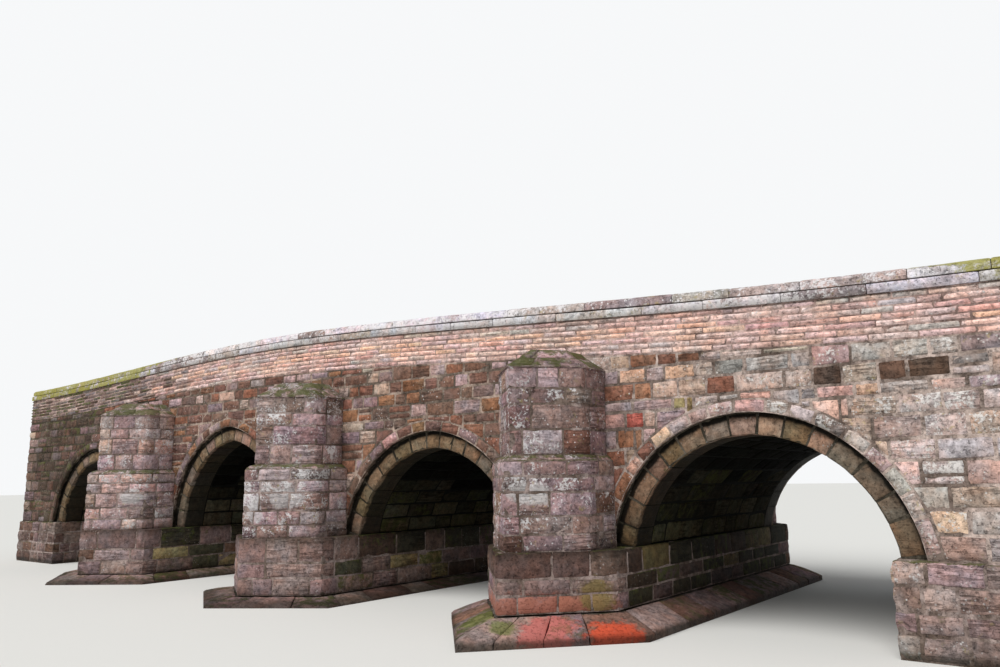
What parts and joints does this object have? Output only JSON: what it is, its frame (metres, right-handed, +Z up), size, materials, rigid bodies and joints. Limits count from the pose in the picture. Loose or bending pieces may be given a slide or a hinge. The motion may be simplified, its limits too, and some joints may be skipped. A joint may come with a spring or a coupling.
{
  "type": "stone arch bridge",
  "caption": "Small sandstone road bridge with round arches on pointed piers, recessed arch rings, plain parapets and a coping in two tiers.",
  "frame": {"origin": "centre of the bridge in plan, at the lowest level, where the aprons and abutments meet the bed", "axes": "+X along the bridge, to the right seen from the front; +Y across it, from the front to the back; +Z up"},
  "size_m": [25.08, 10.7952, 4.94],
  "materials": {
    "spandrel_stone": "weathered squared sandstone, matte",
    "arch_stone": "weathered dressed sandstone, matte",
    "vault_stone": "damp dark sandstone, matte",
    "pier_stone": "lichened sandstone, matte",
    "apron_stone": "worn wet sandstone, matte",
    "parapet_stone": "rock-faced sandstone, matte",
    "coping_stone": "lichened sandstone, matte",
    "deck_gravel": "rolled gravel, matte",
    "rubble": "rough rubble, matte"
  },
  "bodies": {
    "root": {"apron_1": "apron_stone", "pier_1": "pier_stone", "cutwater_front_1": "pier_stone", "cutwater_back_1": "pier_stone", "apron_2": "apron_stone", "pier_2": "pier_stone", "cutwater_front_2": "pier_stone", "cutwater_back_2": "pier_stone", "apron_3": "apron_stone", "pier_3": "pier_stone", "cutwater_front_3": "pier_stone", "cutwater_back_3": "pier_stone", "vault_1": "vault_stone", "arch_ring_front_1": "arch_stone", "spandrel_front_1": "spandrel_stone", "arch_ring_back_1": "arch_stone", "spandrel_back_1": "spandrel_stone", "vault_2": "vault_stone", "arch_ring_front_2": "arch_stone", "spandrel_front_2": "spandrel_stone", "arch_ring_back_2": "arch_stone", "spandrel_back_2": "spandrel_stone", "vault_3": "vault_stone", "arch_ring_front_3": "arch_stone", "spandrel_front_3": "spandrel_stone", "arch_ring_back_3": "arch_stone", "spandrel_back_3": "spandrel_stone", "vault_4": "vault_stone", "arch_ring_front_4": "arch_stone", "spandrel_front_4": "spandrel_stone", "arch_ring_back_4": "arch_stone", "spandrel_back_4": "spandrel_stone", "parapet_front": "parapet_stone", "coping_front": "coping_stone", "parapet_back": "parapet_stone", "coping_back": "coping_stone", "abutment_left": "pier_stone", "abutment_right": "pier_stone", "road_deck": "deck_gravel", "rubble_fill": "rubble"}
  },
  "joints": []
}
